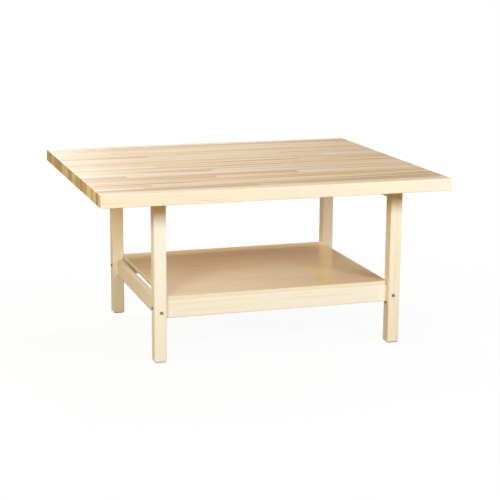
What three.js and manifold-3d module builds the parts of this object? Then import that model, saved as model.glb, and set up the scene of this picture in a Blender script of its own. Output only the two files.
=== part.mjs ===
// Assembly table: a laminated hardwood top on a bolted four-leg base with a plywood shelf.
// Millimetres. +X runs along the length, the front faces -Y, +Z is up, the floor is z = 0.
import * as THREE from "three";
import { mergeVertices } from "three/addons/utils/BufferGeometryUtils.js";
import Module from "manifold-3d";

const wasm = await Module();
wasm.setup();

// Top slab, glued up from strips on edge
const TABLE_HEIGHT = 825.5;
const TOP_LENGTH = 1625.6;
const TOP_DEPTH = 1371.6;
const TOP_THICKNESS = 57.15;
const STRIP_COUNT = 27;
const GLUE_LINE = 0.1;
const TOP_ARRIS = 2.5;

// Base, measured over the outer faces of the legs, and how far it stands right of the top's middle
const BASE_LENGTH = 1200;
const BASE_DEPTH = 948;
const BASE_SHIFT = 67;

// Legs
const LEG_SIZE = 57.15;
const LEG_ARRIS = 3;
const FOOT_CHAMFER = 6;

// Long rails and end stretchers, all of one stock, housed in round-ended pockets in the legs
const RAIL_THICKNESS = 25.4;
const RAIL_HEIGHT = 82;
const RAIL_ARRIS = 3;
const RAIL_BOTTOM = 202;
const RAIL_INSET = 8.75;
const POCKET_DEPTH = 5;

// Upper end rails, tenoned into the legs
const UPPER_RAIL_HEIGHT = 70;
const TENON_LENGTH = 28;
const TENON_THICKNESS = 10;
const TENON_SHOULDER = 12;

// Shelf
const SHELF_THICKNESS = 19;
const SHELF_ARRIS = 1.5;
const SHELF_END_GAP = 2;

// Hex bolts: one in each leg for the long rail, set above one for the end stretcher
const BOLT_DIAMETER = 8;
const BOLT_HEAD_FLATS = 13;
const BOLT_HEAD_HEIGHT = 5.5;
const BOLT_HEAD_BEVEL = Math.PI / 6;
const BOLT_TIP_CHAMFER = 1;
const BOLT_PAST_NUT = 6;
const BOLT_FROM_RAIL_FACE = 10;
const BOLT_STAGGER = 8;

// Barrel nuts in cross bores of the rails and stretchers
const NUT_DIAMETER = 12;
const NUT_LENGTH = 12;
const NUT_FROM_RAIL_END = 45;
const NUT_SLOT_WIDTH = 1.6;
const NUT_SLOT_DEPTH = 1.5;

// Screws that hold the top, sunk into the upper end rails from below
const SCREW_DIAMETER = 6;
const SCREW_LENGTH = 65;
const SCREW_BITE = 34;
const SCREW_POINT = 8;
const SCREW_HEAD_FLATS = 10;
const SCREW_HEAD_HEIGHT = 4;
const SCREW_FLANGE_DIAMETER = 14;
const SCREW_FLANGE_HEIGHT = 1.2;
const SCREW_FROM_LEG = 72;

// Clearances
const FIT_GAP = 0.3;
const SEAT_GAP = 0.1;
const BOLT_HOLE_GAP = 0.5;
const CUT_PAST = 2;

// Facets
const ROUND_SIDES = 16;
const ARRIS_STEPS = 2;
const MERGE_DISTANCE = 1e-3;

// Places worked out from the sizes above
const UNDERSIDE = TABLE_HEIGHT - TOP_THICKNESS;
const LEG_HEIGHT = UNDERSIDE - SEAT_GAP;
const LEG_HALF = LEG_SIZE / 2;
const RAIL_SETBACK = LEG_SIZE - RAIL_INSET - RAIL_THICKNESS;
const RAIL_CENTRE = RAIL_SETBACK + RAIL_THICKNESS / 2;
const RAIL_MIDDLE = RAIL_BOTTOM + RAIL_HEIGHT / 2;
const RAIL_END = LEG_SIZE - POCKET_DEPTH + FIT_GAP;
const BOLT_INSET = RAIL_SETBACK + BOLT_FROM_RAIL_FACE;
const RAIL_BOLT_HEIGHT = RAIL_MIDDLE + BOLT_STAGGER;
const STRETCHER_BOLT_HEIGHT = RAIL_MIDDLE - BOLT_STAGGER;
const NUT_DISTANCE = RAIL_END + NUT_FROM_RAIL_END;
const BOLT_LENGTH = NUT_DISTANCE + NUT_DIAMETER / 2 + BOLT_PAST_NUT;
const BOLT_HOLE_RADIUS = BOLT_DIAMETER / 2 + BOLT_HOLE_GAP;
const STRIP_PITCH = (TOP_DEPTH + GLUE_LINE) / STRIP_COUNT;
const STRIP_WIDTH = STRIP_PITCH - GLUE_LINE;
const UPPER_RAIL_MIDDLE = UNDERSIDE - SEAT_GAP - UPPER_RAIL_HEIGHT / 2;
const SCREW_SEAT = UNDERSIDE - (SCREW_LENGTH - SCREW_BITE);
const SCREW_REACH = BASE_DEPTH / 2 - LEG_SIZE - SCREW_FROM_LEG;
const MIDDLE_STRIP = (STRIP_COUNT + 1) / 2;
const SCREW_STRIPS = [-SCREW_REACH, 0, SCREW_REACH].map((y) => Math.round(y / STRIP_PITCH + MIDDLE_STRIP));

// Finishes, one material for each mesh
const FINISHES = {
  topMaple: { color: 0xe6cfa4, roughness: 0.38, metalness: 0 },
  legMaple: { color: 0xf0dfb6, roughness: 0.42, metalness: 0 },
  railMaple: { color: 0xeedcb2, roughness: 0.42, metalness: 0 },
  shelfPly: { color: 0xcda982, roughness: 0.3, metalness: 0 },
  darkSteel: { color: 0x5c5a55, roughness: 0.45, metalness: 1 },
  zincSteel: { color: 0x9a9a98, roughness: 0.4, metalness: 1 },
};

// Axis frames for prisms: where the outline's two directions and the prism's length point
const X_AXIS = new THREE.Vector3(1, 0, 0);
const Y_AXIS = new THREE.Vector3(0, 1, 0);
const Z_AXIS = new THREE.Vector3(0, 0, 1);
const FRAMES = {
  x: new THREE.Matrix4().makeBasis(Y_AXIS, Z_AXIS, X_AXIS),
  y: new THREE.Matrix4().makeBasis(Z_AXIS, X_AXIS, Y_AXIS),
  z: new THREE.Matrix4(),
};

// Points along an arc, both ends included
function arc(cx, cy, radius, start, end, steps) {
  return Array.from({ length: steps + 1 }, (_, i) => {
    const angle = start + ((end - start) * i) / steps;
    return new THREE.Vector2(cx + radius * Math.cos(angle), cy + radius * Math.sin(angle));
  });
}

// Rectangle about the origin with rounded corners
function roundedRectangle(width, height, radius) {
  const x = width / 2 - radius;
  const y = height / 2 - radius;
  const quarter = Math.PI / 2;
  return [[x, y], [-x, y], [-x, -y], [x, -y]].flatMap(([cx, cy], i) =>
    arc(cx, cy, radius, i * quarter, (i + 1) * quarter, ARRIS_STEPS));
}

// Circle, or a hexagon with sides = 6, about a point
function polygon(radius, sides, cx = 0, cy = 0) {
  return arc(cx, cy, radius, 0, 2 * Math.PI, sides).slice(0, sides);
}

function hexagon(acrossFlats) {
  return polygon(acrossFlats / Math.sqrt(3), 6);
}

// Upright slot with half-round ends, its straight sides from low to high
function slot(cx, width, low, high) {
  const radius = width / 2;
  const half = ROUND_SIDES / 2;
  return [...arc(cx, high, radius, 0, Math.PI, half), ...arc(cx, low, radius, Math.PI, 2 * Math.PI, half)];
}

// Closed prism of an outline along an axis: the outline is (y, z) along x, (z, x) along y, (x, y) along z
function prism(axis, outline, from, to) {
  const low = Math.min(from, to);
  const depth = Math.abs(to - from);
  const geometry = new THREE.ExtrudeGeometry(new THREE.Shape(outline), { depth, bevelEnabled: false });
  geometry.translate(0, 0, low);
  return geometry.applyMatrix4(FRAMES[axis]);
}

// Outline points with their two directions swapped, for a prism along y drawn as (x, z)
function swapped(outline) {
  return outline.map((point) => new THREE.Vector2(point.y, point.x)).reverse();
}

// Round rod along an axis through the point (a, b) of the outline plane
function rod(axis, radius, from, to, a = 0, b = 0) {
  return prism(axis, polygon(radius, ROUND_SIDES, a, b), from, to);
}

// Solid of revolution about z from a profile of [radius, height] pairs that starts and ends on the axis
function turned(profile) {
  return new THREE.LatheGeometry(profile.map(([r, z]) => new THREE.Vector2(r, z)), ROUND_SIDES)
    .rotateX(Math.PI / 2);
}

// Closed loft through rings of equal length, bottom to top
function loft(rings) {
  const count = rings[0].length;
  const positions = rings.flatMap((ring) => ring.flatMap((point) => point.toArray()));
  const indices = [];
  for (let level = 0; level < rings.length - 1; level += 1) {
    for (let i = 0; i < count; i += 1) {
      const a = level * count + i;
      const b = level * count + ((i + 1) % count);
      indices.push(a, b, b + count, a, b + count, a + count);
    }
  }
  const last = (rings.length - 1) * count;
  for (let i = 1; i < count - 1; i += 1) {
    indices.push(0, i + 1, i, last, last + i, last + i + 1);
  }
  const geometry = new THREE.BufferGeometry();
  geometry.setAttribute("position", new THREE.Float32BufferAttribute(positions, 3));
  geometry.setIndex(indices);
  return geometry;
}

// Closed solid for cutting and joining, with its shared corners merged and empty triangles left out
function solid(geometry) {
  const bare = geometry.clone();
  bare.deleteAttribute("normal");
  bare.deleteAttribute("uv");
  const merged = mergeVertices(bare, MERGE_DISTANCE);
  const vertProperties = new Float32Array(merged.attributes.position.array);
  const corners = Array.from(merged.index.array);
  const triVerts = new Uint32Array(corners.filter((_, i) => {
    const [a, b, c] = corners.slice(i - (i % 3), i - (i % 3) + 3);
    return a !== b && b !== c && c !== a;
  }));
  return new wasm.Manifold(new wasm.Mesh({ numProp: 3, vertProperties, triVerts }));
}

function geometryOf(body) {
  const mesh = body.getMesh();
  const geometry = new THREE.BufferGeometry();
  geometry.setAttribute("position", new THREE.Float32BufferAttribute(mesh.vertProperties, 3));
  geometry.setIndex(Array.from(mesh.triVerts));
  return geometry;
}

function cut(geometry, tools) {
  return geometryOf(tools.reduce((body, tool) => body.subtract(solid(tool)), solid(geometry)));
}

function join(first, second) {
  return geometryOf(solid(first).add(solid(second)));
}

function common(first, second) {
  return geometryOf(solid(first).intersect(solid(second)));
}

function piece(name, geometry, finish) {
  const faceted = geometry.index ? geometry.toNonIndexed() : geometry;
  faceted.computeVertexNormals();
  const mesh = new THREE.Mesh(faceted, new THREE.MeshStandardMaterial(FINISHES[finish]));
  mesh.name = name;
  return mesh;
}

const sideName = (side) => (side < 0 ? "left" : "right");
const faceName = (face) => (face < 0 ? "front" : "back");
const cornerName = (side, face) => `${faceName(face)}_${sideName(side)}`;

// Distance inwards from the legs' outer end face or outer long face, in the base's own frame
const fromEnd = (side, distance) => side * (BASE_LENGTH / 2 - distance);
const fromFace = (face, distance) => face * (BASE_DEPTH / 2 - distance);

const stripCentre = (number) => (number - MIDDLE_STRIP) * STRIP_PITCH;

// One strip of the top, with eased ends and, on the two outer strips, an eased outer face
function stripGeometry(number) {
  const isFirst = number === 1;
  const isLast = number === STRIP_COUNT;
  const endOutline = swapped(roundedRectangle(TOP_LENGTH, TOP_THICKNESS, TOP_ARRIS));
  const low = -STRIP_WIDTH / 2 - (isFirst ? CUT_PAST : 0);
  const high = STRIP_WIDTH / 2 + (isLast ? CUT_PAST : 0);
  let strip = prism("y", endOutline, low, high);
  if (isFirst || isLast) {
    const slab = prism("x", roundedRectangle(TOP_DEPTH, TOP_THICKNESS, TOP_ARRIS), -TOP_LENGTH, TOP_LENGTH);
    strip = common(strip, slab.translate(0, -stripCentre(number), 0));
  }
  if (SCREW_STRIPS.includes(number)) {
    const bottom = -TOP_THICKNESS / 2;
    const holeTop = bottom + SCREW_BITE + FIT_GAP;
    const holes = [-1, 1].map((side) =>
      rod("z", SCREW_DIAMETER / 2 + FIT_GAP, bottom - CUT_PAST, holeTop,
        BASE_SHIFT + fromEnd(side, RAIL_CENTRE), 0));
    strip = cut(strip, holes);
  }
  return strip;
}

function makeTop() {
  const top = new THREE.Group();
  top.position.z = UNDERSIDE + TOP_THICKNESS / 2;
  for (let number = 1; number <= STRIP_COUNT; number += 1) {
    const strip = piece(`top_strip_${String(number).padStart(2, "0")}`, stripGeometry(number), "topMaple");
    strip.position.y = stripCentre(number);
    top.add(strip);
  }
  return top;
}

// Round-ended pocket for a rail's end, in the outline plane of the leg's inner face
function pocketOutline(centre) {
  return slot(centre, RAIL_THICKNESS + 2 * FIT_GAP, RAIL_BOTTOM, RAIL_BOTTOM + RAIL_HEIGHT);
}

// Leg with its foot chamfered, two pockets, two bolt holes and a mortise for the upper rail
function legGeometry(side, face) {
  const inX = (distance) => side * (LEG_HALF - distance);
  const inY = (distance) => face * (LEG_HALF - distance);
  const ring = (size, z) =>
    roundedRectangle(size, size, LEG_ARRIS).map((point) => new THREE.Vector3(point.x, point.y, z));
  const blank = loft([
    ring(LEG_SIZE - 2 * FOOT_CHAMFER, 0),
    ring(LEG_SIZE, FOOT_CHAMFER),
    ring(LEG_SIZE, LEG_HEIGHT),
  ]);
  const before = -CUT_PAST;
  const past = LEG_SIZE + CUT_PAST;
  const floor = LEG_SIZE - POCKET_DEPTH;
  const mortiseFloor = LEG_SIZE - TENON_LENGTH - FIT_GAP;
  const mortiseOutline = tenonOutline(FIT_GAP, inX(RAIL_CENTRE), UPPER_RAIL_MIDDLE);
  return cut(blank, [
    prism("x", pocketOutline(inY(RAIL_CENTRE)), inX(floor), inX(past)),
    prism("y", swapped(pocketOutline(inX(RAIL_CENTRE))), inY(floor), inY(past)),
    rod("x", BOLT_HOLE_RADIUS, inX(before), inX(past), inY(BOLT_INSET), RAIL_BOLT_HEIGHT),
    rod("y", BOLT_HOLE_RADIUS, inY(before), inY(past), STRETCHER_BOLT_HEIGHT, inX(BOLT_INSET)),
    prism("y", swapped(mortiseOutline), inY(mortiseFloor), inY(past)),
  ]);
}

// Section of the upper rail's tenon about a point, grown by a gap
function tenonOutline(gap, cx = 0, cz = 0) {
  const halfWidth = TENON_THICKNESS / 2 + gap;
  const halfHeight = UPPER_RAIL_HEIGHT / 2 - TENON_SHOULDER + gap;
  return [[1, 1], [-1, 1], [-1, -1], [1, -1]].map(([sx, sz]) =>
    new THREE.Vector2(cx + sx * halfWidth, cz + sz * halfHeight));
}

// Blind bore for a barrel nut, from the rail's inner face, in terms of the distance from its outer face
const NUT_BORE_RADIUS = NUT_DIAMETER / 2 + FIT_GAP;
const NUT_BORE_FLOOR = BOLT_FROM_RAIL_FACE - NUT_LENGTH / 2 - FIT_GAP;

// Lower rail along an axis between two housings, bored at both ends for its bolt and nut.
// Local frame: middle of the rail's length, thickness and height; outward is the sign of its outer face.
function railGeometry(axis, length, outward, boltHeight) {
  const section = roundedRectangle(RAIL_THICKNESS, RAIL_HEIGHT, RAIL_ARRIS);
  const across = (distance) => outward * (RAIL_THICKNESS / 2 - distance);
  const rise = boltHeight - RAIL_MIDDLE;
  const half = length / 2;
  const crossAxis = axis === "x" ? "y" : "x";
  const bar = prism(axis, axis === "x" ? section : swapped(section), -half, half);
  const tools = [-1, 1].flatMap((end) => {
    const nutPlace = end * (half - NUT_FROM_RAIL_END);
    const boreEnd = nutPlace - end * (NUT_DIAMETER / 2 + BOLT_PAST_NUT + FIT_GAP);
    const boltLine = across(BOLT_FROM_RAIL_FACE);
    const boltBore = axis === "x"
      ? rod("x", BOLT_HOLE_RADIUS, end * (half + CUT_PAST), boreEnd, boltLine, rise)
      : rod("y", BOLT_HOLE_RADIUS, end * (half + CUT_PAST), boreEnd, rise, boltLine);
    const nutSpan = [across(NUT_BORE_FLOOR), across(RAIL_THICKNESS + CUT_PAST)];
    const nutBore = axis === "x"
      ? rod(crossAxis, NUT_BORE_RADIUS, nutSpan[0], nutSpan[1], rise, nutPlace)
      : rod(crossAxis, NUT_BORE_RADIUS, nutSpan[0], nutSpan[1], nutPlace, rise);
    return [boltBore, nutBore];
  });
  return cut(bar, tools);
}

// Upper end rail along y with a stub tenon on each end and counterbored holes for the top screws
function upperRailGeometry() {
  const half = BASE_DEPTH / 2 - LEG_SIZE - FIT_GAP;
  const section = swapped(roundedRectangle(RAIL_THICKNESS, UPPER_RAIL_HEIGHT, RAIL_ARRIS));
  const tenonReach = half + FIT_GAP + TENON_LENGTH;
  const tenons = prism("y", swapped(tenonOutline(0)), -tenonReach, tenonReach);
  const bar = join(prism("y", section, -half, half), tenons);
  const seat = SCREW_SEAT - UPPER_RAIL_MIDDLE;
  const below = -UPPER_RAIL_HEIGHT / 2 - CUT_PAST;
  const holes = SCREW_STRIPS.flatMap((number) => [
    rod("z", SCREW_FLANGE_DIAMETER / 2 + BOLT_HOLE_GAP, below, seat, 0, stripCentre(number)),
    rod("z", SCREW_DIAMETER / 2 + FIT_GAP, below, UPPER_RAIL_HEIGHT, 0, stripCentre(number)),
  ]);
  return cut(bar, holes);
}

function shelfGeometry() {
  const length = BASE_LENGTH - 2 * (LEG_SIZE + SHELF_END_GAP);
  const depth = BASE_DEPTH - 2 * RAIL_SETBACK;
  const outline = swapped(roundedRectangle(length, SHELF_THICKNESS, SHELF_ARRIS));
  return prism("y", outline, -depth / 2, depth / 2);
}

// Hex bolt along z: the seat of its head is z = 0, its shank runs up, its head hangs below
function boltGeometry() {
  const radius = BOLT_DIAMETER / 2;
  const rim = BOLT_HEAD_FLATS / 2;
  const corner = BOLT_HEAD_FLATS / Math.sqrt(3) + CUT_PAST;
  const shoulder = -BOLT_HEAD_HEIGHT + (corner - rim) * Math.tan(BOLT_HEAD_BEVEL);
  const head = common(
    prism("z", hexagon(BOLT_HEAD_FLATS), -BOLT_HEAD_HEIGHT - CUT_PAST, 0),
    turned([[0, -BOLT_HEAD_HEIGHT], [rim, -BOLT_HEAD_HEIGHT], [corner, shoulder],
      [corner, CUT_PAST], [0, CUT_PAST]]),
  );
  const shank = turned([[0, -BOLT_HEAD_HEIGHT / 2], [radius, -BOLT_HEAD_HEIGHT / 2],
    [radius, BOLT_LENGTH - BOLT_TIP_CHAMFER], [radius - BOLT_TIP_CHAMFER, BOLT_LENGTH], [0, BOLT_LENGTH]]);
  return join(head, shank);
}

// Barrel nut along z with its threaded cross hole along x and a screwdriver slot in its upper end
function nutGeometry() {
  const half = NUT_LENGTH / 2;
  const barrel = rod("z", NUT_DIAMETER / 2, -half, half);
  const crossHole = rod("x", BOLT_DIAMETER / 2 + FIT_GAP, -NUT_DIAMETER, NUT_DIAMETER);
  const slotOutline = roundedRectangle(NUT_DIAMETER * 2, NUT_SLOT_WIDTH, NUT_SLOT_WIDTH / 4);
  return cut(barrel, [crossHole, prism("z", slotOutline, half - NUT_SLOT_DEPTH, half + CUT_PAST)]);
}

// Flanged hex wood screw along z: the seat of its flange is z = 0, its point is up
function screwGeometry() {
  const radius = SCREW_DIAMETER / 2;
  const flange = SCREW_FLANGE_DIAMETER / 2;
  const shank = turned([[0, -SCREW_FLANGE_HEIGHT], [flange, -SCREW_FLANGE_HEIGHT], [flange, 0], [radius, 0],
    [radius, SCREW_LENGTH - SCREW_POINT], [0, SCREW_LENGTH]]);
  const headBottom = -SCREW_FLANGE_HEIGHT - SCREW_HEAD_HEIGHT;
  return join(shank, prism("z", hexagon(SCREW_HEAD_FLATS), headBottom, -SCREW_FLANGE_HEIGHT / 2));
}

function addLegs(base) {
  for (const face of [-1, 1]) {
    for (const side of [-1, 1]) {
      const leg = piece(`leg_${cornerName(side, face)}`, legGeometry(side, face), "legMaple");
      leg.position.set(fromEnd(side, LEG_HALF), fromFace(face, LEG_HALF), 0);
      base.add(leg);
    }
  }
}

function addRails(base) {
  const railLength = BASE_LENGTH - 2 * RAIL_END;
  const stretcherLength = BASE_DEPTH - 2 * RAIL_END;
  for (const face of [-1, 1]) {
    const rail = piece(`long_rail_${faceName(face)}`, railGeometry("x", railLength, face, RAIL_BOLT_HEIGHT),
      "railMaple");
    rail.position.set(0, fromFace(face, RAIL_CENTRE), RAIL_MIDDLE);
    base.add(rail);
  }
  for (const side of [-1, 1]) {
    const stretcher = piece(`end_stretcher_${sideName(side)}`,
      railGeometry("y", stretcherLength, side, STRETCHER_BOLT_HEIGHT), "railMaple");
    stretcher.position.set(fromEnd(side, RAIL_CENTRE), 0, RAIL_MIDDLE);
    const upperRail = piece(`upper_rail_${sideName(side)}`, upperRailGeometry(), "railMaple");
    upperRail.position.set(fromEnd(side, RAIL_CENTRE), 0, UPPER_RAIL_MIDDLE);
    base.add(stretcher, upperRail);
  }
}

function addShelf(base) {
  const shelf = piece("lower_shelf", shelfGeometry(), "shelfPly");
  shelf.position.z = RAIL_BOTTOM + RAIL_HEIGHT + SEAT_GAP + SHELF_THICKNESS / 2;
  base.add(shelf);
}

// Bolts and barrel nuts at each leg. A bolt's shank points inwards, a nut's slot faces inwards.
function addBolts(base) {
  for (const face of [-1, 1]) {
    for (const side of [-1, 1]) {
      const corner = cornerName(side, face);
      const boltX = fromEnd(side, BOLT_INSET);
      const boltY = fromFace(face, BOLT_INSET);
      const towardsMiddleX = (-side * Math.PI) / 2;
      const towardsMiddleY = (face * Math.PI) / 2;
      const railBolt = piece(`rail_bolt_${corner}`, boltGeometry(), "darkSteel");
      railBolt.rotation.y = towardsMiddleX;
      railBolt.position.set(fromEnd(side, -SEAT_GAP), boltY, RAIL_BOLT_HEIGHT);
      const railNut = piece(`rail_nut_${corner}`, nutGeometry(), "zincSteel");
      railNut.rotation.x = towardsMiddleY;
      railNut.position.set(fromEnd(side, NUT_DISTANCE), boltY, RAIL_BOLT_HEIGHT);
      const stretcherBolt = piece(`stretcher_bolt_${corner}`, boltGeometry(), "darkSteel");
      stretcherBolt.rotation.x = towardsMiddleY;
      stretcherBolt.position.set(boltX, fromFace(face, -SEAT_GAP), STRETCHER_BOLT_HEIGHT);
      const stretcherNut = piece(`stretcher_nut_${corner}`, nutGeometry(), "zincSteel");
      stretcherNut.rotation.set(Math.PI / 2, 0, towardsMiddleX, "ZXY");
      stretcherNut.position.set(boltX, fromFace(face, NUT_DISTANCE), STRETCHER_BOLT_HEIGHT);
      base.add(railBolt, railNut, stretcherBolt, stretcherNut);
    }
  }
}

function addTopScrews(base) {
  const places = ["front", "middle", "back"];
  for (const side of [-1, 1]) {
    SCREW_STRIPS.forEach((number, i) => {
      const screw = piece(`top_screw_${sideName(side)}_${places[i]}`, screwGeometry(), "zincSteel");
      screw.position.set(fromEnd(side, RAIL_CENTRE), stripCentre(number), SCREW_SEAT - SEAT_GAP);
      base.add(screw);
    });
  }
}

const base = new THREE.Group();
base.position.x = BASE_SHIFT;
addLegs(base);
addRails(base);
addShelf(base);
addBolts(base);
addTopScrews(base);

const table = new THREE.Group();
table.add(makeTop(), base);

export default table;
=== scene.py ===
"""Looks of a workshop assembly table: laminated maple top, bolted maple base and plywood shelf."""

import math
from collections import namedtuple

import bpy
from mathutils import Matrix, Vector


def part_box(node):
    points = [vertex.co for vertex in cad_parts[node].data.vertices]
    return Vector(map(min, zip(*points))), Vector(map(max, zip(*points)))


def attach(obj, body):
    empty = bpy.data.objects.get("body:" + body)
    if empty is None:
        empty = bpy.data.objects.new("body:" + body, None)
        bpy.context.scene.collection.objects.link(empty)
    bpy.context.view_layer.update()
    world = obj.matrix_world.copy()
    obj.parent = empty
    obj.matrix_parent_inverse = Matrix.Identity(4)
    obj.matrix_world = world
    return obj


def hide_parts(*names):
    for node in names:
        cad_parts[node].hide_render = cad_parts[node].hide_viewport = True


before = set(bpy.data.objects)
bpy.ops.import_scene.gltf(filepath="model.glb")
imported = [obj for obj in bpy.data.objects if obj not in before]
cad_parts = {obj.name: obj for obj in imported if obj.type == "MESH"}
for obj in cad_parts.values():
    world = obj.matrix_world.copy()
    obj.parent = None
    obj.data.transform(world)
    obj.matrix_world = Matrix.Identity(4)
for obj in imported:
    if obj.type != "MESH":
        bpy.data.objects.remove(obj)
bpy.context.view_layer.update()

bl_info = {
    "name": "Assembly Table Finish",
    "version": (1, 0, 0),
    "blender": (4, 5, 0),
    "location": "3D View > Sidebar > Assembly Table",
    "description": "Laminated top, wood finishes, hardware and studio of an assembly table",
    "category": "Object",
}

MM = 0.001
X, Y, Z = range(3)
BODY = "root"

# Nodes of the frame, by kind of piece
SIDES = ("left", "right")
FACES = ("front", "back")
CORNERS = [f"{face}_{side}" for face in FACES for side in SIDES]
STRIPS = sorted(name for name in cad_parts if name.startswith("top_strip_"))
END_RAILS = [f"{kind}_{side}" for kind in ("end_stretcher", "upper_rail") for side in SIDES]
RAIL_BOLTS = [f"rail_bolt_{corner}" for corner in CORNERS]
STRETCHER_BOLTS = [f"stretcher_bolt_{corner}" for corner in CORNERS]
HIDDEN_HARDWARE = sorted(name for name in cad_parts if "_nut_" in name or "_screw_" in name)
SHELF = "lower_shelf"

# The slab, read from the strips of the frame
SLAB_LOW = Vector(map(min, zip(*(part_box(name)[0] for name in STRIPS))))
SLAB_HIGH = Vector(map(max, zip(*(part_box(name)[1] for name in STRIPS))))
SLAB_SIZE = SLAB_HIGH - SLAB_LOW

# Camera of the photograph: it stands to the left of the front and looks a little down
CAMERA_PLACE = (-1.919, -6.1996, 1.8559)
CAMERA_YAW = math.radians(17.776)
CAMERA_PITCH = math.radians(12.702)
CAMERA_ROLL = math.radians(0.375)
CAMERA_LENS_MM = 97.37
CAMERA_SENSOR_MM = 36.0

# Softboxes stand at a compass angle from the front towards the right, and may show in the table's gloss
Softbox = namedtuple("Softbox", "compass rise distance width height strength colour shows")
SOFTBOXES = {
    "front_right_softbox": Softbox(30.0, 21.5, 3.7, 1.3, 0.8, 0.72, "#E2F1FF", False),
    "front_left_softbox": Softbox(-36.0, 21.5, 4.6, 1.4, 0.9, 0.91, "#F1FBF7", False),
    "left_side_softbox": Softbox(-72.0, 18.0, 4.2, 1.4, 1.4, 0.28, "#FFDF9A", False),
    "front_fill": Softbox(-8.0, 11.0, 5.0, 2.4, 0.7, 0.17, "#FFC870", False),
    "high_back_softbox": Softbox(174.0, 51.0, 4.5, 1.0, 0.4, 0.84, "#FFFFFF", False),
    "sheen_softbox": Softbox(195.0, 19.0, 2.85, 1.8, 0.9, 0.17, "#FFFFFF", True),
}

# Flag behind the table that glows and is seen only in its gloss, painting reflections: white at the top
# left, dark to the right and below
FLAG_PLACE = 2.7
FLAG_LEFT, FLAG_WHITE, FLAG_DARK, FLAG_RIGHT = -1.2, 0.2, 2.2, 4.5
FLAG_LOW, FLAG_BAND_LOW, FLAG_BAND_HIGH, FLAG_HIGH = 0.05, 0.95, 1.15, 3.0

# Where the softboxes aim, and how far the floor reaches from the table's middle
LIGHT_TARGET = Vector((0.0, 0.0, 0.5))
FLOOR_REACH = 60.0

# Distances from the table's middle over which its shadow fades from the floor
SHADOW_FULL, SHADOW_GONE = 1.0, 2.2

# Strength of the soft light from straight above, as a share of that from the horizon
ZENITH_SHARE = 0.3

# Kinds of node that the trees use often
MATH = "ShaderNodeMath"
VECTOR_MATH = "ShaderNodeVectorMath"
MAP_RANGE = "ShaderNodeMapRange"
MIX = "ShaderNodeMix"
COORDINATES = "ShaderNodeTexCoord"
SPLIT = "ShaderNodeSeparateXYZ"
COMBINE = "ShaderNodeCombineXYZ"
RANDOM = "FunctionNodeRandomValue"
SET_MATERIAL = "GeometryNodeSetMaterial"

# Furthest that a stave's figure is shifted, in metres
STAVE_SHIFT = 40.0

# Most that the line pattern reaches on the palest staves
LINELESS = 0.5

# How squarely a stave's face meets the slab's length to be a sawn end
SAWN_FACE = 0.9

# How near to a face of the slab a corner lies to be on it
ON_FACE = 0.01 * MM

# Steps in a rounded edge
ARRIS_STEPS = 3

# How squarely a face meets an axis where its finish begins to change, and where it has changed
FACING_FROM, FACING_FULL = 0.6, 0.8

# Layers of veneer in the shelf, and the shares of a layer between which pale turns to brown
PLIES = 9
PALE_PLY, BROWN_PLY = 0.35, 0.65

# Strength of the relief in varnished wood and in zinc plating
WOOD_RELIEF = 0.5
ZINC_RELIEF = 0.2
ZINC_RELIEF_MM = 0.05

# Zinc plating: share of the colour in its dull crystals, its roughness, and how far that varies
DULL_ZINC = 0.6
DARK_ZINC_ROUGHNESS, BRIGHT_ZINC_ROUGHNESS = 0.38, 0.32
ZINC_SPREAD = 0.1

# Hex bolt: corners of each stretch
HEX_CORNERS, WASHER_CORNERS, SHANK_CORNERS = 6, 24, 16

# Hex bolt: radius of the head's top and height of its chamfer, as shares of the head's
HEAD_TOP, HEAD_CHAMFER = 0.88, 0.16

# Hex bolt: radius of the washer face, as a share of the width across flats
WASHER_RADIUS = 0.475

# Hex bolt: radius and length of the tip, as shares of the shank's radius
TIP_RADIUS, TIP_LENGTH = 0.75, 0.3

# Each leg: how honey-coloured it is, which is painted warm shade on the legs whose faces stand in shade
# under the top, and how strongly its own streaks show
LEG_SHADE_AND_STREAKS = {
    "front_left": (0.0, 0.15),
    "front_right": (0.25, 0.8),
    "back_left": (0.2, 0.2),
    "back_right": (0.2, 0.2),
}

# How honey-coloured each long rail is: painted warm shade on the back rail, which stands in shade under
# the top
RAIL_SHADE_WARMTH = {"front": 0.0, "back": 0.5}


def linear(hex_colour):
    """An sRGB hex colour as linear red, green, blue and alpha."""
    channels = [int(hex_colour[place:place + 2], 16) / 255 for place in (1, 3, 5)]
    straight = [c / 12.92 if c <= 0.04045 else ((c + 0.055) / 1.055) ** 2.4 for c in channels]
    return (*straight, 1.0)


def dimmed(colour, share):
    """A linear colour at a share of its strength."""
    return (*(channel * share for channel in colour[:3]), 1.0)


def node(tree, kind, inputs=(), out=0, **settings):
    """Adds a node with its settings and links, and gives one of its outputs."""
    made = tree.nodes.new(kind)
    for name, value in settings.items():
        setattr(made, name, value)
    pairs = inputs.items() if isinstance(inputs, dict) else enumerate(inputs)
    for key, value in pairs:
        for source in value if isinstance(value, list) else [value]:
            if isinstance(source, bpy.types.NodeSocket):
                tree.links.new(source, made.inputs[key])
            else:
                made.inputs[key].default_value = source
    return made.outputs[out] if made.outputs else None


def colour_setting(name, description, hex_colour):
    """A colour that a user can change."""
    return bpy.props.FloatVectorProperty(
        name=name, description=description, subtype="COLOR", size=4, min=0.0, max=1.0,
        default=linear(hex_colour))


def length_setting(name, description, millimetres):
    """A length that a user can change."""
    return bpy.props.FloatProperty(
        name=name, description=description, default=millimetres * MM, min=0.0,
        unit="LENGTH", subtype="DISTANCE", precision=4)


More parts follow.
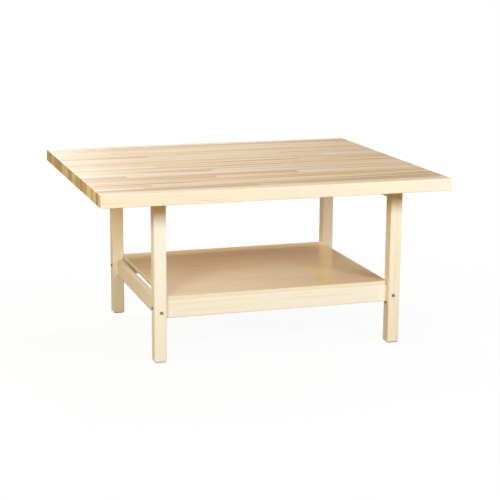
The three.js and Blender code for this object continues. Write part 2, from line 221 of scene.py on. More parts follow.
class TableTopSettings(bpy.types.PropertyGroup):
    """Sizes and colours of the laminated top."""

    joint_margin: length_setting("Joint Margin", "Least distance of a joint from the slab's ends", 130.0)
    seed: bpy.props.IntProperty(name="Seed", description="Choice of staves", default=7, min=0)
    glue_line: length_setting("Glue Line", "Gap between staves", 0.1)
    arris: length_setting("Arris", "Rounding of the slab's outer edges", 2.5)
    stave_arris: length_setting("Stave Arris", "Softening of each stave's own edges", 0.25)
    pale: colour_setting("Pale Stave", "Palest staves", "#EEE3CE")
    tan: colour_setting("Tan Stave", "Common staves", "#F0D9AE")
    dark: colour_setting("Dark Stave", "Heartwood staves", "#B0773A")
    end_grain: colour_setting("End Grain", "Sawn ends of the staves", "#EFE1C0")
    end_dark: colour_setting("Dark End Grain", "Rings and darker blocks at the sawn ends", "#B58F52")


class TableBaseSettings(bpy.types.PropertyGroup):
    """Sizes and colours of the legs, rails, shelf and hardware."""

    pale: colour_setting("Pale Maple", "Sapwood of the legs and rails", "#F7F4E8")
    honey: colour_setting("Honey Streak", "Streaks along the grain", "#F0DAA4")
    fleck: colour_setting("Fleck", "Short ray flecks", "#CDA56A")
    end_grain: colour_setting("End Grain", "Sawn ends of the legs and rails", "#C8A469")
    shelf_face: colour_setting("Shelf Face", "Rotary-cut face veneer", "#FADFA8")
    shelf_figure: colour_setting("Shelf Figure", "Darker figure of the face veneer", "#EBCA98")
    shelf_edge: colour_setting("Shelf Edge", "Pale plies at the edge", "#F4EAD2")
    cross_ply: colour_setting("Cross Ply", "Cross plies at the edge", "#EBDCB8")
    dark_zinc: colour_setting("Dark Zinc", "Bolt heads", "#9A9484")
    bright_zinc: colour_setting("Bright Zinc", "Nuts and screws", "#A9A8A3")
    bolt_flats: length_setting("Bolt Flats", "Width of a bolt head across its flats", 13.0)
    bolt_diameter: length_setting("Bolt Diameter", "Shank diameter of a bolt", 8.0)
    bolt_head: length_setting("Bolt Head", "Height of a bolt head", 5.5)
    washer_face: length_setting("Washer Face", "Height of the round face under a bolt head", 0.5)


class TableStudioSettings(bpy.types.PropertyGroup):
    """Light and floor of the studio."""

    ambient: bpy.props.FloatProperty(
        name="Ambient", description="Soft light from all round", default=0.46, min=0.0)
    ambient_tint: colour_setting("Ambient Tint", "Warmth of the light from all round", "#FFD187")
    paper_bounce: bpy.props.FloatProperty(
        name="Paper Bounce", description="Share of light that the floor throws back at the table",
        default=0.27, min=0.0, max=1.0, subtype="FACTOR")
    # Painted reflection: the grey that the flag glows with, seen only in the table's gloss
    flag_grey: colour_setting("Flag Grey", "Dark side of the flag behind the table", "#786C74")
    lamp_power: bpy.props.FloatProperty(
        name="Lamp Power", description="Power of a softbox of strength 1",
        default=100.0, min=0.0, unit="POWER")
    shadow: bpy.props.FloatProperty(
        name="Floor Shadow", description="How much of the table's shadow the white floor keeps",
        default=0.06, min=0.0, max=1.0, subtype="FACTOR")
    white: colour_setting("White", "Floor and background", "#FFFFFF")


def new_object(name, data):
    """An object of the scene, at the origin."""
    made = bpy.data.objects.new(name, data)
    bpy.context.scene.collection.objects.link(made)
    return made


def new_material(name):
    """An empty node material and its tree."""
    material = bpy.data.materials.new(name)
    material.use_nodes = True
    material.node_tree.nodes.clear()
    return material, material.node_tree


def figure(tree, place, axis, across_mm, along_mm, detail=2.0, distortion=0.0):
    """Noise from 0 to 1 whose marks are drawn out along an axis, from the size of one mark."""
    scale = [1 / (across_mm * MM)] * 3
    scale[axis] = 1 / (along_mm * MM)
    stretched = node(tree, "ShaderNodeMapping", {"Vector": place, "Scale": tuple(scale)})
    return node(tree, "ShaderNodeTexNoise",
                {"Vector": stretched, "Scale": 1.0, "Detail": detail, "Distortion": distortion})


def stain(tree, colour, stained, pattern, low, high, depth=1.0):
    """Turns a colour to a stained one, as deep as a share of 1, where a pattern rises from low to high."""
    share = node(tree, MAP_RANGE, {"Value": pattern, "From Min": low, "From Max": high, "To Max": depth},
                 interpolation_type="SMOOTHSTEP")
    return node(tree, MIX, {0: share, 6: colour, 7: stained}, out=2, data_type="RGBA")


def facing(tree, axis):
    """How squarely a surface faces along an axis of the table, either way, from 0 to 1."""
    part = node(tree, SPLIT, (node(tree, COORDINATES, out="Normal"),), out=axis)
    return node(tree, MATH, (part,), operation="ABSOLUTE")


def finish_wood(tree, colour, relief, roughness, bump_mm, specular):
    """Ends a wood tree: colour under a clear film whose gloss and relief follow the grain."""
    bump = node(tree, "ShaderNodeBump",
                {"Height": relief, "Strength": WOOD_RELIEF, "Distance": bump_mm * MM})
    gloss = node(tree, MAP_RANGE, {"Value": relief, "To Min": roughness[0], "To Max": roughness[1]})
    film = node(tree, "ShaderNodeBsdfPrincipled",
                {"Base Color": colour, "Roughness": gloss, "Normal": bump, "Specular IOR Level": specular})
    node(tree, "ShaderNodeOutputMaterial", {"Surface": film})


def stave_marks(tree):
    """Tone and seed that each stave carries, and a place shifted so that no two share a figure."""
    tone = node(tree, "ShaderNodeAttribute", out="Fac", attribute_name="stave_tone")
    seed = node(tree, "ShaderNodeAttribute", out="Fac", attribute_name="stave_seed")
    shift = node(tree, MATH, (seed, STAVE_SHIFT), operation="MULTIPLY")
    place = node(tree, VECTOR_MATH, (node(tree, COORDINATES, out="Object"), shift), operation="ADD")
    return tone, seed, place


# Hard maple on edge, glued and satin varnished. The eye sees long staves of cream and tan, each with
# its own straight grain and thin brown lines along it.
def glued_maple_staves(settings):
    material, tree = new_material("glued_maple_staves")
    tone, _, place = stave_marks(tree)
    lines = figure(tree, place, X, across_mm=15, along_mm=2000, distortion=0.1)
    # Real pores are under 1 mm wide; they are drawn 5 mm wide so that they show.
    pores = figure(tree, place, X, across_mm=5, along_mm=220, detail=3.0)
    mellow = figure(tree, place, X, across_mm=60, along_mm=700)
    common = stain(tree, settings.pale, settings.tan, tone, low=0.0, high=0.55)
    heart = stain(tree, common, settings.dark, tone, low=0.72, high=1.0, depth=0.35)
    soft = stain(tree, heart, settings.pale, mellow, low=0.45, high=0.75, depth=0.35)
    # The palest staves, along the slab's front and back, have no lines.
    most = node(tree, MATH, (tone, LINELESS), operation="ADD")
    shown = node(tree, MATH, (lines, most), operation="MINIMUM")
    lined = stain(tree, soft, settings.dark, shown, low=0.55, high=0.61, depth=0.8)
    fine = stain(tree, lined, settings.dark, pores, low=0.56, high=0.8, depth=0.3)
    finish_wood(tree, fine, pores, roughness=(0.3, 0.4), bump_mm=0.15, specular=0.5)
    return material


# Hard maple sawn across the grain and sanded. The eye sees golden blocks side by side, each its
# own shade, with faint rings and no shine.
def sawn_maple_ends(settings):
    material, tree = new_material("sawn_maple_ends")
    tone, seed, place = stave_marks(tree)
    rings = figure(tree, place, Z, across_mm=9, along_mm=30, detail=3.0, distortion=0.8)
    shade = stain(tree, settings.end_grain, settings.end_dark, seed, low=0.3, high=1.0, depth=0.7)
    toned = stain(tree, shade, settings.end_dark, tone, low=0.6, high=1.0, depth=0.5)
    ringed = stain(tree, toned, settings.end_dark, rings, low=0.45, high=0.75, depth=0.4)
    finish_wood(tree, ringed, rings, roughness=(0.75, 0.9), bump_mm=0.1, specular=0.1)
    return material


# Hard maple, planed and clear varnished. The eye sees a pale cream face with honey streaks along
# the grain, short ray flecks and darker sawn ends.
def clear_varnished_maple(name, axis, settings, shade_warmth=0.0, streaks=0.35):
    material, tree = new_material(name)
    # Painted shade: the pale board turns honey-coloured by the given warmth on parts that stand in shade
    # under the top
    board_and_shade = tuple(pale + (honey - pale) * shade_warmth for pale, honey in zip(settings.pale, settings.honey))
    place = node(tree, COORDINATES, out="Object")
    streak = figure(tree, place, axis, across_mm=11, along_mm=600, detail=3.0, distortion=0.3)
    # Real pores are under 1 mm wide; they are drawn 4 mm wide so that they show.
    pores = figure(tree, place, axis, across_mm=4, along_mm=150, detail=3.0)
    flecks = figure(tree, place, axis, across_mm=6, along_mm=20)
    rings = figure(tree, place, axis, across_mm=5, along_mm=400, distortion=0.6)
    warm = stain(tree, board_and_shade, settings.honey, streak, low=0.46, high=0.68, depth=streaks)
    fine = stain(tree, warm, settings.honey, pores, low=0.55, high=0.8, depth=0.25)
    flecked = stain(tree, fine, settings.fleck, flecks, low=0.64, high=0.75, depth=0.35)
    sawn = stain(tree, settings.end_grain, settings.fleck, rings, low=0.4, high=0.7, depth=0.5)
    colour = stain(tree, flecked, sawn, facing(tree, axis), low=FACING_FROM, high=FACING_FULL)
    finish_wood(tree, colour, pores, roughness=(0.48, 0.6), bump_mm=0.15, specular=0.15)
    return material


# Birch plywood with a rotary-cut face, semi-gloss lacquered. The eye sees a calm tan sheet with a
# drifting figure, mirror-like at a low angle, and fine pale and brown lines at its edges.
def lacquered_birch_plywood(settings):
    material, tree = new_material("lacquered_birch_plywood")
    place = node(tree, COORDINATES, out="Object")
    drift = figure(tree, place, X, across_mm=90, along_mm=700, detail=3.0, distortion=1.2)
    # Real pores are under 1 mm wide; they are drawn 6 mm wide so that they show.
    pores = figure(tree, place, X, across_mm=6, along_mm=110, detail=3.0)
    face = stain(tree, settings.shelf_face, settings.shelf_figure, drift, low=0.4, high=0.75, depth=0.5)
    fine = stain(tree, face, settings.shelf_figure, pores, low=0.55, high=0.8, depth=0.25)
    low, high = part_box(SHELF)
    ply = (high.z - low.z) / PLIES
    lifted = node(tree, MATH, (node(tree, SPLIT, (place,), out="Z"), low.z), operation="SUBTRACT")
    layer = node(tree, MATH, (lifted, ply), operation="PINGPONG")
    edge = stain(tree, settings.shelf_edge, settings.cross_ply, layer,
                 low=PALE_PLY * ply, high=BROWN_PLY * ply, depth=0.6)
    colour = stain(tree, edge, fine, facing(tree, Z), low=FACING_FROM, high=FACING_FULL)
    finish_wood(tree, colour, pores, roughness=(0.08, 0.13), bump_mm=0.03, specular=1.0)
    return material


# Steel, zinc plated. The eye sees a metal that is bright where it catches a lamp and clouded by
# the crystals of the plating.
def plated_steel(name, colour, roughness):
    material, tree = new_material(name)
    place = node(tree, COORDINATES, out="Object")
    # Real crystals of plating are far under 1 mm wide; they are drawn 2.5 mm wide so that they show.
    clouds = figure(tree, place, X, across_mm=2.5, along_mm=2.5, detail=4.0)
    shade = stain(tree, dimmed(colour, DULL_ZINC), colour, clouds, low=0.35, high=0.7)
    gloss = node(tree, MAP_RANGE,
                 {"Value": clouds, "To Min": roughness - ZINC_SPREAD, "To Max": roughness + ZINC_SPREAD})
    bump = node(tree, "ShaderNodeBump",
                {"Height": clouds, "Strength": ZINC_RELIEF, "Distance": ZINC_RELIEF_MM * MM})
    metal = node(tree, "ShaderNodeBsdfPrincipled",
                 {"Base Color": shade, "Metallic": 1.0, "Roughness": gloss, "Normal": bump})
    node(tree, "ShaderNodeOutputMaterial", {"Surface": metal})
    return material


def dress(names, material):
    """Gives CAD nodes a finish, leaving their shape alone."""
    for name in names:
        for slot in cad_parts[name].material_slots:
            slot.material = material


def new_tree(name, inputs):
    """A Geometry Nodes tree with named inputs, a geometry input and a geometry output."""
    tree = bpy.data.node_groups.new(name, "GeometryNodeTree")
    tree.interface.new_socket("Geometry", in_out="OUTPUT", socket_type="NodeSocketGeometry")
    tree.interface.new_socket("Geometry", in_out="INPUT", socket_type="NodeSocketGeometry")
    for label, kind in inputs.items():
        tree.interface.new_socket(label, in_out="INPUT", socket_type=f"NodeSocket{kind}")
    return tree, node(tree, "NodeGroupInput").node.outputs


def plain_piece(name, mesh, tree, values):
    """Runs a Geometry Nodes tree on a mesh and keeps the result as a plain piece at the origin."""
    piece = new_object(name, mesh)
    modifier = piece.modifiers.new(tree.name, "NODES")
    modifier.node_group = tree
    for item in tree.interface.items_tree:
        if item.in_out == "INPUT" and item.name in values:
            modifier[item.identifier] = values[item.name]
    keep_result(piece)
    return piece


def keep_result(piece):
    """Replaces a piece's mesh by what its modifiers make of it, and removes them."""
    shape = piece.evaluated_get(bpy.context.evaluated_depsgraph_get())
    made = bpy.data.meshes.new_from_object(shape)
    piece.modifiers.clear()
    piece.data = made
    made.name = piece.name


def stave_tree():
    """Rows of two staves butted end to end; the first and last rows are single pale staves."""
    tree, sizes = new_tree("glued_staves", {
        "Rows": "Int", "Low": "Vector", "Size": "Vector", "Glue Line": "Float", "Joint Margin": "Float",
        "Seed": "Int", "Material": "Material", "End Material": "Material"})
    low = node(tree, SPLIT, (sizes["Low"],)).node.outputs
    size = node(tree, SPLIT, (sizes["Size"],)).node.outputs
    gap = sizes["Glue Line"]

    # Row of each stave, whether it is the second in its row, and whether its row is the first or last
    index = node(tree, "GeometryNodeInputIndex")
    second = node(tree, MATH, (index, 2.0), operation="MODULO")
    row = node(tree, MATH, (node(tree, MATH, (index, 0.5), operation="MULTIPLY"),), operation="FLOOR")
    rows_left = node(tree, MATH, (sizes["Rows"], row), operation="SUBTRACT")
    from_last = node(tree, MATH, (rows_left, 1.0), operation="SUBTRACT")
    from_edge = node(tree, MATH, (row, from_last), operation="MINIMUM")
    outer = node(tree, MATH, (from_edge, 0.5), operation="LESS_THAN")

    # Where the end joint lies, as a share of the row; a single stave has it at the far end
    run = node(tree, MATH, (size[X], gap), operation="ADD")
    margin = node(tree, MATH, (sizes["Joint Margin"], run), operation="DIVIDE")
    far_margin = node(tree, MATH, (1.0, margin), operation="SUBTRACT")
    drawn = node(tree, RANDOM, {2: margin, 3: far_margin, "ID": row, "Seed": sizes["Seed"]},
                 out=1, data_type="FLOAT")
    joint = node(tree, MATH, (drawn, outer), operation="MAXIMUM")
    start = node(tree, MATH, (second, joint), operation="MULTIPLY")
    end = node(tree, MATH, (second, joint), operation="MAXIMUM")
    share = node(tree, MATH, (end, start), operation="SUBTRACT")

    # Each stave's block and its middle
    full = node(tree, MATH, (share, run), operation="MULTIPLY")
    length = node(tree, MATH, (full, gap), operation="SUBTRACT")
    left = node(tree, MATH, (start, run, low[X]), operation="MULTIPLY_ADD")
    depth = node(tree, MATH, (size[Y], gap), operation="ADD")
    pitch = node(tree, MATH, (depth, sizes["Rows"]), operation="DIVIDE")
    width = node(tree, MATH, (pitch, gap), operation="SUBTRACT")
    near = node(tree, MATH, (row, pitch, low[Y]), operation="MULTIPLY_ADD")
    corner = node(tree, COMBINE, (left, near, low[Z]))
    block = node(tree, COMBINE, (length, width, size[Z]))
    middle = node(tree, VECTOR_MATH, (block, (0.5, 0.5, 0.5), corner), operation="MULTIPLY_ADD")

    # A tone and a seed for each stave; the staves of the outer rows are pale
    count = node(tree, MATH, (sizes["Rows"], 2.0), operation="MULTIPLY")
    points = node(tree, "GeometryNodePoints", {"Count": count, "Position": middle})
    inner = node(tree, MATH, (1.0, outer), operation="SUBTRACT")
    for label, highest, seed_step in (("stave_tone", inner, 1.0), ("stave_seed", 1.0, 2.0)):
        seed = node(tree, MATH, (sizes["Seed"], seed_step), operation="ADD")
        mark = node(tree, RANDOM, {2: 0.0, 3: highest, "Seed": seed}, out=1, data_type="FLOAT")
        points = node(tree, "GeometryNodeStoreNamedAttribute",
                      {"Geometry": points, "Name": label, "Value": mark}, data_type="FLOAT")

    kept = node(tree, MATH, (length, 0.0), operation="GREATER_THAN")
    cube = node(tree, "GeometryNodeMeshCube", {"Size": (1.0, 1.0, 1.0)})
    blocks = node(tree, "GeometryNodeInstanceOnPoints",
                  {"Points": points, "Selection": kept, "Instance": cube, "Scale": block})
    real = node(tree, "GeometryNodeRealizeInstances", {"Geometry": blocks})
    dressed = node(tree, SET_MATERIAL, {"Geometry": real, "Material": sizes["Material"]})
    along = node(tree, SPLIT, (node(tree, "GeometryNodeInputNormal"),), out="X")
    steep = node(tree, MATH, (along,), operation="ABSOLUTE")
    sawn = node(tree, MATH, (steep, SAWN_FACE), operation="GREATER_THAN")
    ended = node(tree, SET_MATERIAL,
                 {"Geometry": dressed, "Selection": sawn, "Material": sizes["End Material"]})
    node(tree, "NodeGroupOutput", {"Geometry": ended})
    return tree


def soften_staves(piece, arris, stave_arris):
    """Rounds the slab's outer edges and eases each stave's own edges."""
    mesh = piece.data
    weights = mesh.attributes.new("bevel_weight_edge", "FLOAT", "EDGE").data

    def on_outer_face(edge, axis):
        ends = [mesh.vertices[corner].co[axis] for corner in edge.vertices]
        faces = (SLAB_LOW[axis], SLAB_HIGH[axis])
        return any(all(abs(end - face) < ON_FACE for end in ends) for face in faces)

    for edge in mesh.edges:
        shared = sum(on_outer_face(edge, axis) for axis in (X, Y, Z))
        weights[edge.index].value = 1.0 if shared > 1 else stave_arris / arris
    mesh.polygons.foreach_set("use_smooth", [True] * len(mesh.polygons))
    bevel = piece.modifiers.new("arris", "BEVEL")
    bevel.limit_method = "WEIGHT"
    bevel.width = arris
    bevel.segments = ARRIS_STEPS
    bevel.harden_normals = True
    keep_result(piece)


def bolt_tree():
    """A hex bolt on each point, its head turned along the point's own direction."""
    tree, sizes = new_tree("hex_bolts", {
        "Flats": "Float", "Diameter": "Float", "Head": "Float", "Length": "Float", "Washer Face": "Float",
        "Material": "Material"})
    washer = sizes["Washer Face"]
    corner = node(tree, MATH, (sizes["Flats"], 2 * math.cos(math.pi / HEX_CORNERS)), operation="DIVIDE")
    eased = node(tree, MATH, (corner, HEAD_TOP), operation="MULTIPLY")
    round_face = node(tree, MATH, (sizes["Flats"], WASHER_RADIUS), operation="MULTIPLY")
    shank = node(tree, MATH, (sizes["Diameter"], 0.5), operation="MULTIPLY")
    tip = node(tree, MATH, (shank, TIP_RADIUS), operation="MULTIPLY")
    chamfer = node(tree, MATH, (sizes["Head"], HEAD_CHAMFER), operation="MULTIPLY")
    shoulder = node(tree, MATH, (sizes["Head"], chamfer), operation="SUBTRACT")
    body = node(tree, MATH, (shoulder, washer), operation="SUBTRACT")
    tip_length = node(tree, MATH, (shank, TIP_LENGTH), operation="MULTIPLY")
    straight = node(tree, MATH, (sizes["Length"], tip_length), operation="SUBTRACT")
    tip_level = node(tree, MATH, (straight, -1.0), operation="MULTIPLY")
    end_level = node(tree, MATH, (sizes["Length"], -1.0), operation="MULTIPLY")
    # Each stretch of the bolt: corners, lower radius, upper radius, height, lowest level
    stretches = (
        (HEX_CORNERS, corner, corner, body, washer),
        (HEX_CORNERS, corner, eased, chamfer, shoulder),
        (WASHER_CORNERS, round_face, round_face, washer, 0.0),
        (SHANK_CORNERS, shank, shank, straight, tip_level),
        (SHANK_CORNERS, tip, shank, tip_length, end_level),
    )
    parts = []
    for corners, low_radius, high_radius, height, level in stretches:
        cone = node(tree, "GeometryNodeMeshCone", {
            "Vertices": corners, "Radius Bottom": low_radius, "Radius Top": high_radius, "Depth": height})
        lift = node(tree, COMBINE, (0.0, 0.0, level))
        parts.append(node(tree, "GeometryNodeTransform", {"Geometry": cone, "Translation": lift}))
    bolt = node(tree, "GeometryNodeJoinGeometry", {0: parts})
    out = node(tree, "GeometryNodeInputNamedAttribute", {"Name": "head_out"}, data_type="FLOAT_VECTOR")
    turn = node(tree, "FunctionNodeAlignRotationToVector", {"Vector": out}, axis="Z")
    bolts = node(tree, "GeometryNodeInstanceOnPoints",
                 {"Points": sizes["Geometry"], "Instance": bolt, "Rotation": turn})
    real = node(tree, "GeometryNodeRealizeInstances", {"Geometry": bolts})
    dressed = node(tree, SET_MATERIAL, {"Geometry": real, "Material": sizes["Material"]})
    node(tree, "NodeGroupOutput", {"Geometry": dressed})
    return tree


def bolt_seats(head):
    """Point under each bolt's head, and the way its head faces."""
    seats = []
    ways = []
    for names, axis, far_side in ((RAIL_BOLTS, X, "_right"), (STRETCHER_BOLTS, Y, "_back_")):
        for name in names:
            low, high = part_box(name)
            seat = (low + high) / 2
            seat[axis] = high[axis] - head if far_side in name else low[axis] + head
            way = Vector((0.0, 0.0, 0.0))
            way[axis] = 1.0 if far_side in name else -1.0
            seats.append(seat)
            ways.append(way)
    return seats, ways


def shank_length(head):
    """Length of a bolt under its head; all the bolts are alike."""
    low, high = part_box(RAIL_BOLTS[0])
    return high.x - low.x - head


class TABLE_OT_laminate_top(bpy.types.Operator):
    """Glues up the top from staves in place of the frame's plain strips"""

    bl_idname = "assembly_table.laminate_top"
    bl_label = "Laminate Top"

    def execute(self, context):
        settings = context.scene.table_top
        empty = bpy.data.meshes.new("laminated_top")
        piece = plain_piece("laminated_top", empty, stave_tree(), {
            "Rows": len(STRIPS), "Low": SLAB_LOW, "Size": SLAB_SIZE, "Glue Line": settings.glue_line,
            "Joint Margin": settings.joint_margin, "Seed": settings.seed,
            "Material": glued_maple_staves(settings), "End Material": sawn_maple_ends(settings)})
        soften_staves(piece, settings.arris, settings.stave_arris)
        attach(piece, BODY)
        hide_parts(*STRIPS)
        return {"FINISHED"}


class TABLE_OT_finish_legs(bpy.types.Operator):
    """Varnishes the four legs, with the grain upright"""

    bl_idname = "assembly_table.finish_legs"
    bl_label = "Finish Legs"

    def execute(self, context):
        settings = context.scene.table_base
        # Painted shade: the legs in shade under the top get a warmer board; the streaks are their own
        # grain
        for corner, (shade_warmth, streaks) in LEG_SHADE_AND_STREAKS.items():
            name = f"clear_varnished_maple_leg_{corner}"
            dress([f"leg_{corner}"], clear_varnished_maple(name, Z, settings, shade_warmth, streaks))
        return {"FINISHED"}


class TABLE_OT_finish_rails(bpy.types.Operator):
    """Varnishes the long rails and the end rails, with the grain along each"""

    bl_idname = "assembly_table.finish_rails"
    bl_label = "Finish Rails"

    def execute(self, context):
        settings = context.scene.table_base
        # Painted shade: the back rail, in shade under the top, gets a warmer board
        for face, shade_warmth in RAIL_SHADE_WARMTH.items():
            name = f"clear_varnished_maple_rail_{face}"
            dress([f"long_rail_{face}"], clear_varnished_maple(name, X, settings, shade_warmth))
        dress(END_RAILS, clear_varnished_maple("clear_varnished_maple_end_rails", Y, settings))
        return {"FINISHED"}


class TABLE_OT_finish_shelf(bpy.types.Operator):
    """Lacquers the plywood shelf"""

    bl_idname = "assembly_table.finish_shelf"
    bl_label = "Finish Shelf"

    def execute(self, context):
        dress([SHELF], lacquered_birch_plywood(context.scene.table_base))
        return {"FINISHED"}


class TABLE_OT_fit_bolts(bpy.types.Operator):
    """Fits the eight hex bolts in place of the frame's plain ones"""

    bl_idname = "assembly_table.fit_bolts"
    bl_label = "Fit Bolts"

    def execute(self, context):
        settings = context.scene.table_base
        seats, ways = bolt_seats(settings.bolt_head)
        points = bpy.data.meshes.new("hex_bolts")
        points.from_pydata(seats, [], [])
        out = points.attributes.new("head_out", "FLOAT_VECTOR", "POINT")
        for place, way in zip(out.data, ways):
            place.vector = way
        piece = plain_piece("hex_bolts", points, bolt_tree(), {
            "Flats": settings.bolt_flats, "Diameter": settings.bolt_diameter, "Head": settings.bolt_head,
            "Length": shank_length(settings.bolt_head), "Washer Face": settings.washer_face,
            "Material": plated_steel("dark_zinc_steel", settings.dark_zinc, DARK_ZINC_ROUGHNESS)})
        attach(piece, BODY)
        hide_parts(*RAIL_BOLTS, *STRETCHER_BOLTS)
        return {"FINISHED"}


class TABLE_OT_finish_hardware(bpy.types.Operator):
    """Plates the barrel nuts and the top screws"""

    bl_idname = "assembly_table.finish_hardware"
    bl_label = "Finish Nuts and Screws"

    def execute(self, context):
        colour = context.scene.table_base.bright_zinc
        dress(HIDDEN_HARDWARE, plated_steel("bright_zinc_steel", colour, BRIGHT_ZINC_ROUGHNESS))
        return {"FINISHED"}


def backdrop_rays(tree):
    """1 for rays that should see the plain white background, and 0 for light that falls on the table."""
    rays = node(tree, "ShaderNodeLightPath").node.outputs
    seen = node(tree, MATH, (rays["Is Camera Ray"], rays["Is Glossy Ray"]), operation="ADD")
    return node(tree, MATH, (seen, rays["Is Transmission Ray"]), operation="ADD", use_clamp=True)


def white_paper_floor(settings):
    """Studio paper: white to the eye, with part of the table's soft shadow kept near it."""
    material, tree = new_material("white_paper_floor")
    seen = backdrop_rays(tree)
    bounced = dimmed(settings.ambient_tint, settings.paper_bounce)
    colour = node(tree, MIX, {0: seen, 6: bounced, 7: settings.white}, out=2, data_type="RGBA")
    paper = node(tree, "ShaderNodeBsdfDiffuse", {"Color": colour})
    glow = node(tree, "ShaderNodeEmission", {"Color": settings.white, "Strength": 1.0})
    place = node(tree, COORDINATES, out="Object")
    away = node(tree, VECTOR_MATH, (place,), out="Value", operation="LENGTH")
    bare = node(tree, MAP_RANGE,
                {"Value": away, "From Min": SHADOW_FULL, "From Max": SHADOW_GONE,
                 "To Min": 1.0 - settings.shadow},
                interpolation_type="SMOOTHSTEP")
    white = node(tree, MATH, (bare, seen), operation="MULTIPLY")
    surface = node(tree, "ShaderNodeMixShader", (white, paper, glow))
    node(tree, "ShaderNodeOutputMaterial", {"Surface": surface})
    return material


def light_world(settings):
    """White to the eye; on the table, a warm soft light that is strongest near the horizon."""
    world = bpy.data.worlds.new("studio")
    world.use_nodes = True
    tree = world.node_tree
    tree.nodes.clear()
    seen = backdrop_rays(tree)
    height = node(tree, SPLIT, (node(tree, COORDINATES, out="Generated"),), out="Z")
    soft = node(tree, MAP_RANGE,
                {"Value": height, "To Min": settings.ambient, "To Max": settings.ambient * ZENITH_SHARE})
    strength = node(tree, MIX, {0: seen, 2: soft, 3: 1.0}, data_type="FLOAT")
    tint = node(tree, MIX, {0: seen, 6: settings.ambient_tint, 7: settings.white}, out=2, data_type="RGBA")
    background = node(tree, "ShaderNodeBackground", {"Color": tint, "Strength": strength})
    node(tree, "ShaderNodeOutputWorld", {"Surface": background})
    bpy.context.scene.world = world


def add_softbox(name, box, settings):
    """An area lamp that looks at the table; its angles are in degrees and its sizes in metres."""
    lamp = bpy.data.lights.new(name, "AREA")
    lamp.shape = "RECTANGLE"
    lamp.size = box.width
    lamp.size_y = box.height
    lamp.energy = settings.lamp_power * box.strength
    lamp.color = linear(box.colour)[:3]
    softbox = new_object(name, lamp)
    turn, tilt = math.radians(box.compass), math.radians(box.rise)
    way = Vector((math.sin(turn) * math.cos(tilt), -math.cos(turn) * math.cos(tilt), math.sin(tilt)))
    softbox.location = LIGHT_TARGET + way * box.distance
    softbox.rotation_euler = way.to_track_quat("Z", "Y").to_euler()
    softbox.visible_camera = False
    softbox.visible_glossy = box.shows


def add_sheet(name, corners, material):
    """A flat sheet of the stage, from its four corners."""
    mesh = bpy.data.meshes.new(name)
    mesh.from_pydata(corners, [], [(0, 1, 2, 3)])
    mesh.materials.append(material)
    return new_object(name, mesh)


def add_flag(settings):
    """A glowing flag, seen only in the table's gloss, that keeps the white background out of it on the
    right: a painted reflection, white at the top left and grey to the right and below.
    """
    material, tree = new_material("glowing_reflection_flag")
    spot = node(tree, SPLIT, (node(tree, COORDINATES, out="Object"),)).node.outputs
    beside = node(tree, MAP_RANGE, {"Value": spot["X"], "From Min": FLAG_WHITE, "From Max": FLAG_DARK},
                  interpolation_type="SMOOTHSTEP")
    below = node(tree, MAP_RANGE,
                 {"Value": spot["Z"], "From Min": FLAG_BAND_LOW, "From Max": FLAG_BAND_HIGH,
                  "To Min": 1.0, "To Max": 0.0},
                 interpolation_type="SMOOTHSTEP")
    shade = node(tree, MATH, (beside, below), operation="MAXIMUM")
    colour = node(tree, MIX, {0: shade, 6: settings.white, 7: settings.flag_grey}, out=2, data_type="RGBA")
    # Emission of a fixed colour whatever the light: a painted reflection, not a lit cloth
    reflection_glow = node(tree, "ShaderNodeEmission", {"Color": colour})
    node(tree, "ShaderNodeOutputMaterial", {"Surface": reflection_glow})
    flag = add_sheet("flag", [
        (FLAG_LEFT, FLAG_PLACE, FLAG_LOW), (FLAG_RIGHT, FLAG_PLACE, FLAG_LOW),
        (FLAG_RIGHT, FLAG_PLACE, FLAG_HIGH), (FLAG_LEFT, FLAG_PLACE, FLAG_HIGH)], material)
    flag.visible_camera = False
    flag.visible_diffuse = False
    flag.visible_shadow = False


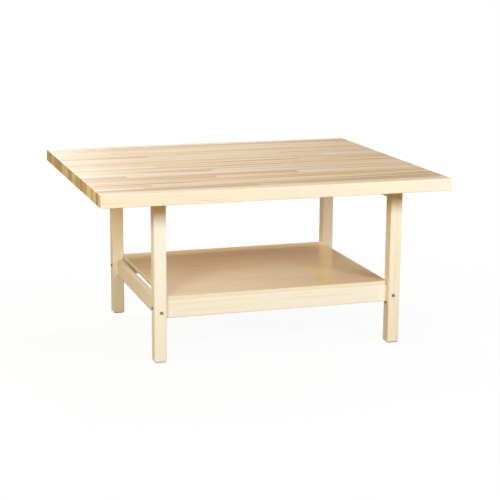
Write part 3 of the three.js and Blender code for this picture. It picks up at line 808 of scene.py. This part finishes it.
def add_camera():
    """The photograph's camera."""
    lens = bpy.data.cameras.new("camera")
    lens.sensor_fit = "HORIZONTAL"
    lens.sensor_width = CAMERA_SENSOR_MM
    lens.lens = CAMERA_LENS_MM
    lens.clip_end = 2 * FLOOR_REACH
    camera = new_object("camera", lens)
    aim = Matrix.Rotation(-CAMERA_YAW, 4, "Z") @ Matrix.Rotation(math.pi / 2 - CAMERA_PITCH, 4, "X")
    camera.matrix_world = Matrix.Translation(CAMERA_PLACE) @ aim @ Matrix.Rotation(CAMERA_ROLL, 4, "Z")
    bpy.context.scene.camera = camera


class TABLE_OT_set_stage(bpy.types.Operator):
    """Sets the white floor, the flag, the soft studio light and the camera"""

    bl_idname = "assembly_table.set_stage"
    bl_label = "Set Stage"

    def execute(self, context):
        settings = context.scene.table_studio
        near, far = -FLOOR_REACH, FLOOR_REACH
        corners = [(near, near, 0.0), (far, near, 0.0), (far, far, 0.0), (near, far, 0.0)]
        floor = add_sheet("floor", corners, white_paper_floor(settings))
        light_world(settings)
        add_flag(settings)
        for name, box in SOFTBOXES.items():
            add_softbox(name, box, settings)
        add_camera()
        context.scene.view_settings.view_transform = "Standard"
        return {"FINISHED"}


OPERATORS = (TABLE_OT_laminate_top, TABLE_OT_finish_legs, TABLE_OT_finish_rails, TABLE_OT_finish_shelf,
             TABLE_OT_fit_bolts, TABLE_OT_finish_hardware, TABLE_OT_set_stage)


class TABLE_PT_assembly_table(bpy.types.Panel):
    """Lists the steps that dress the table"""

    bl_idname = "TABLE_PT_assembly_table"
    bl_label = "Assembly Table"
    bl_space_type = "VIEW_3D"
    bl_region_type = "UI"
    bl_category = "Assembly Table"

    def draw(self, context):
        for operator in OPERATORS:
            self.layout.operator(operator.bl_idname)
        for group in SETTINGS:
            box = self.layout.box()
            holder = getattr(context.scene, group)
            for name in holder.bl_rna.properties.keys():
                if name not in ("rna_type", "name"):
                    box.prop(holder, name)


SETTINGS = {
    "table_top": TableTopSettings,
    "table_base": TableBaseSettings,
    "table_studio": TableStudioSettings,
}
CLASSES = (*SETTINGS.values(), *OPERATORS, TABLE_PT_assembly_table)


def register():
    for made in CLASSES:
        bpy.utils.register_class(made)
    for name, group in SETTINGS.items():
        setattr(bpy.types.Scene, name, bpy.props.PointerProperty(type=group))


def unregister():
    for name in SETTINGS:
        delattr(bpy.types.Scene, name)
    for made in reversed(CLASSES):
        bpy.utils.unregister_class(made)


def main():
    register()
    for operator in OPERATORS:
        group, name = operator.bl_idname.split(".")
        getattr(getattr(bpy.ops, group), name)()


if __name__ == "__main__":
    main()
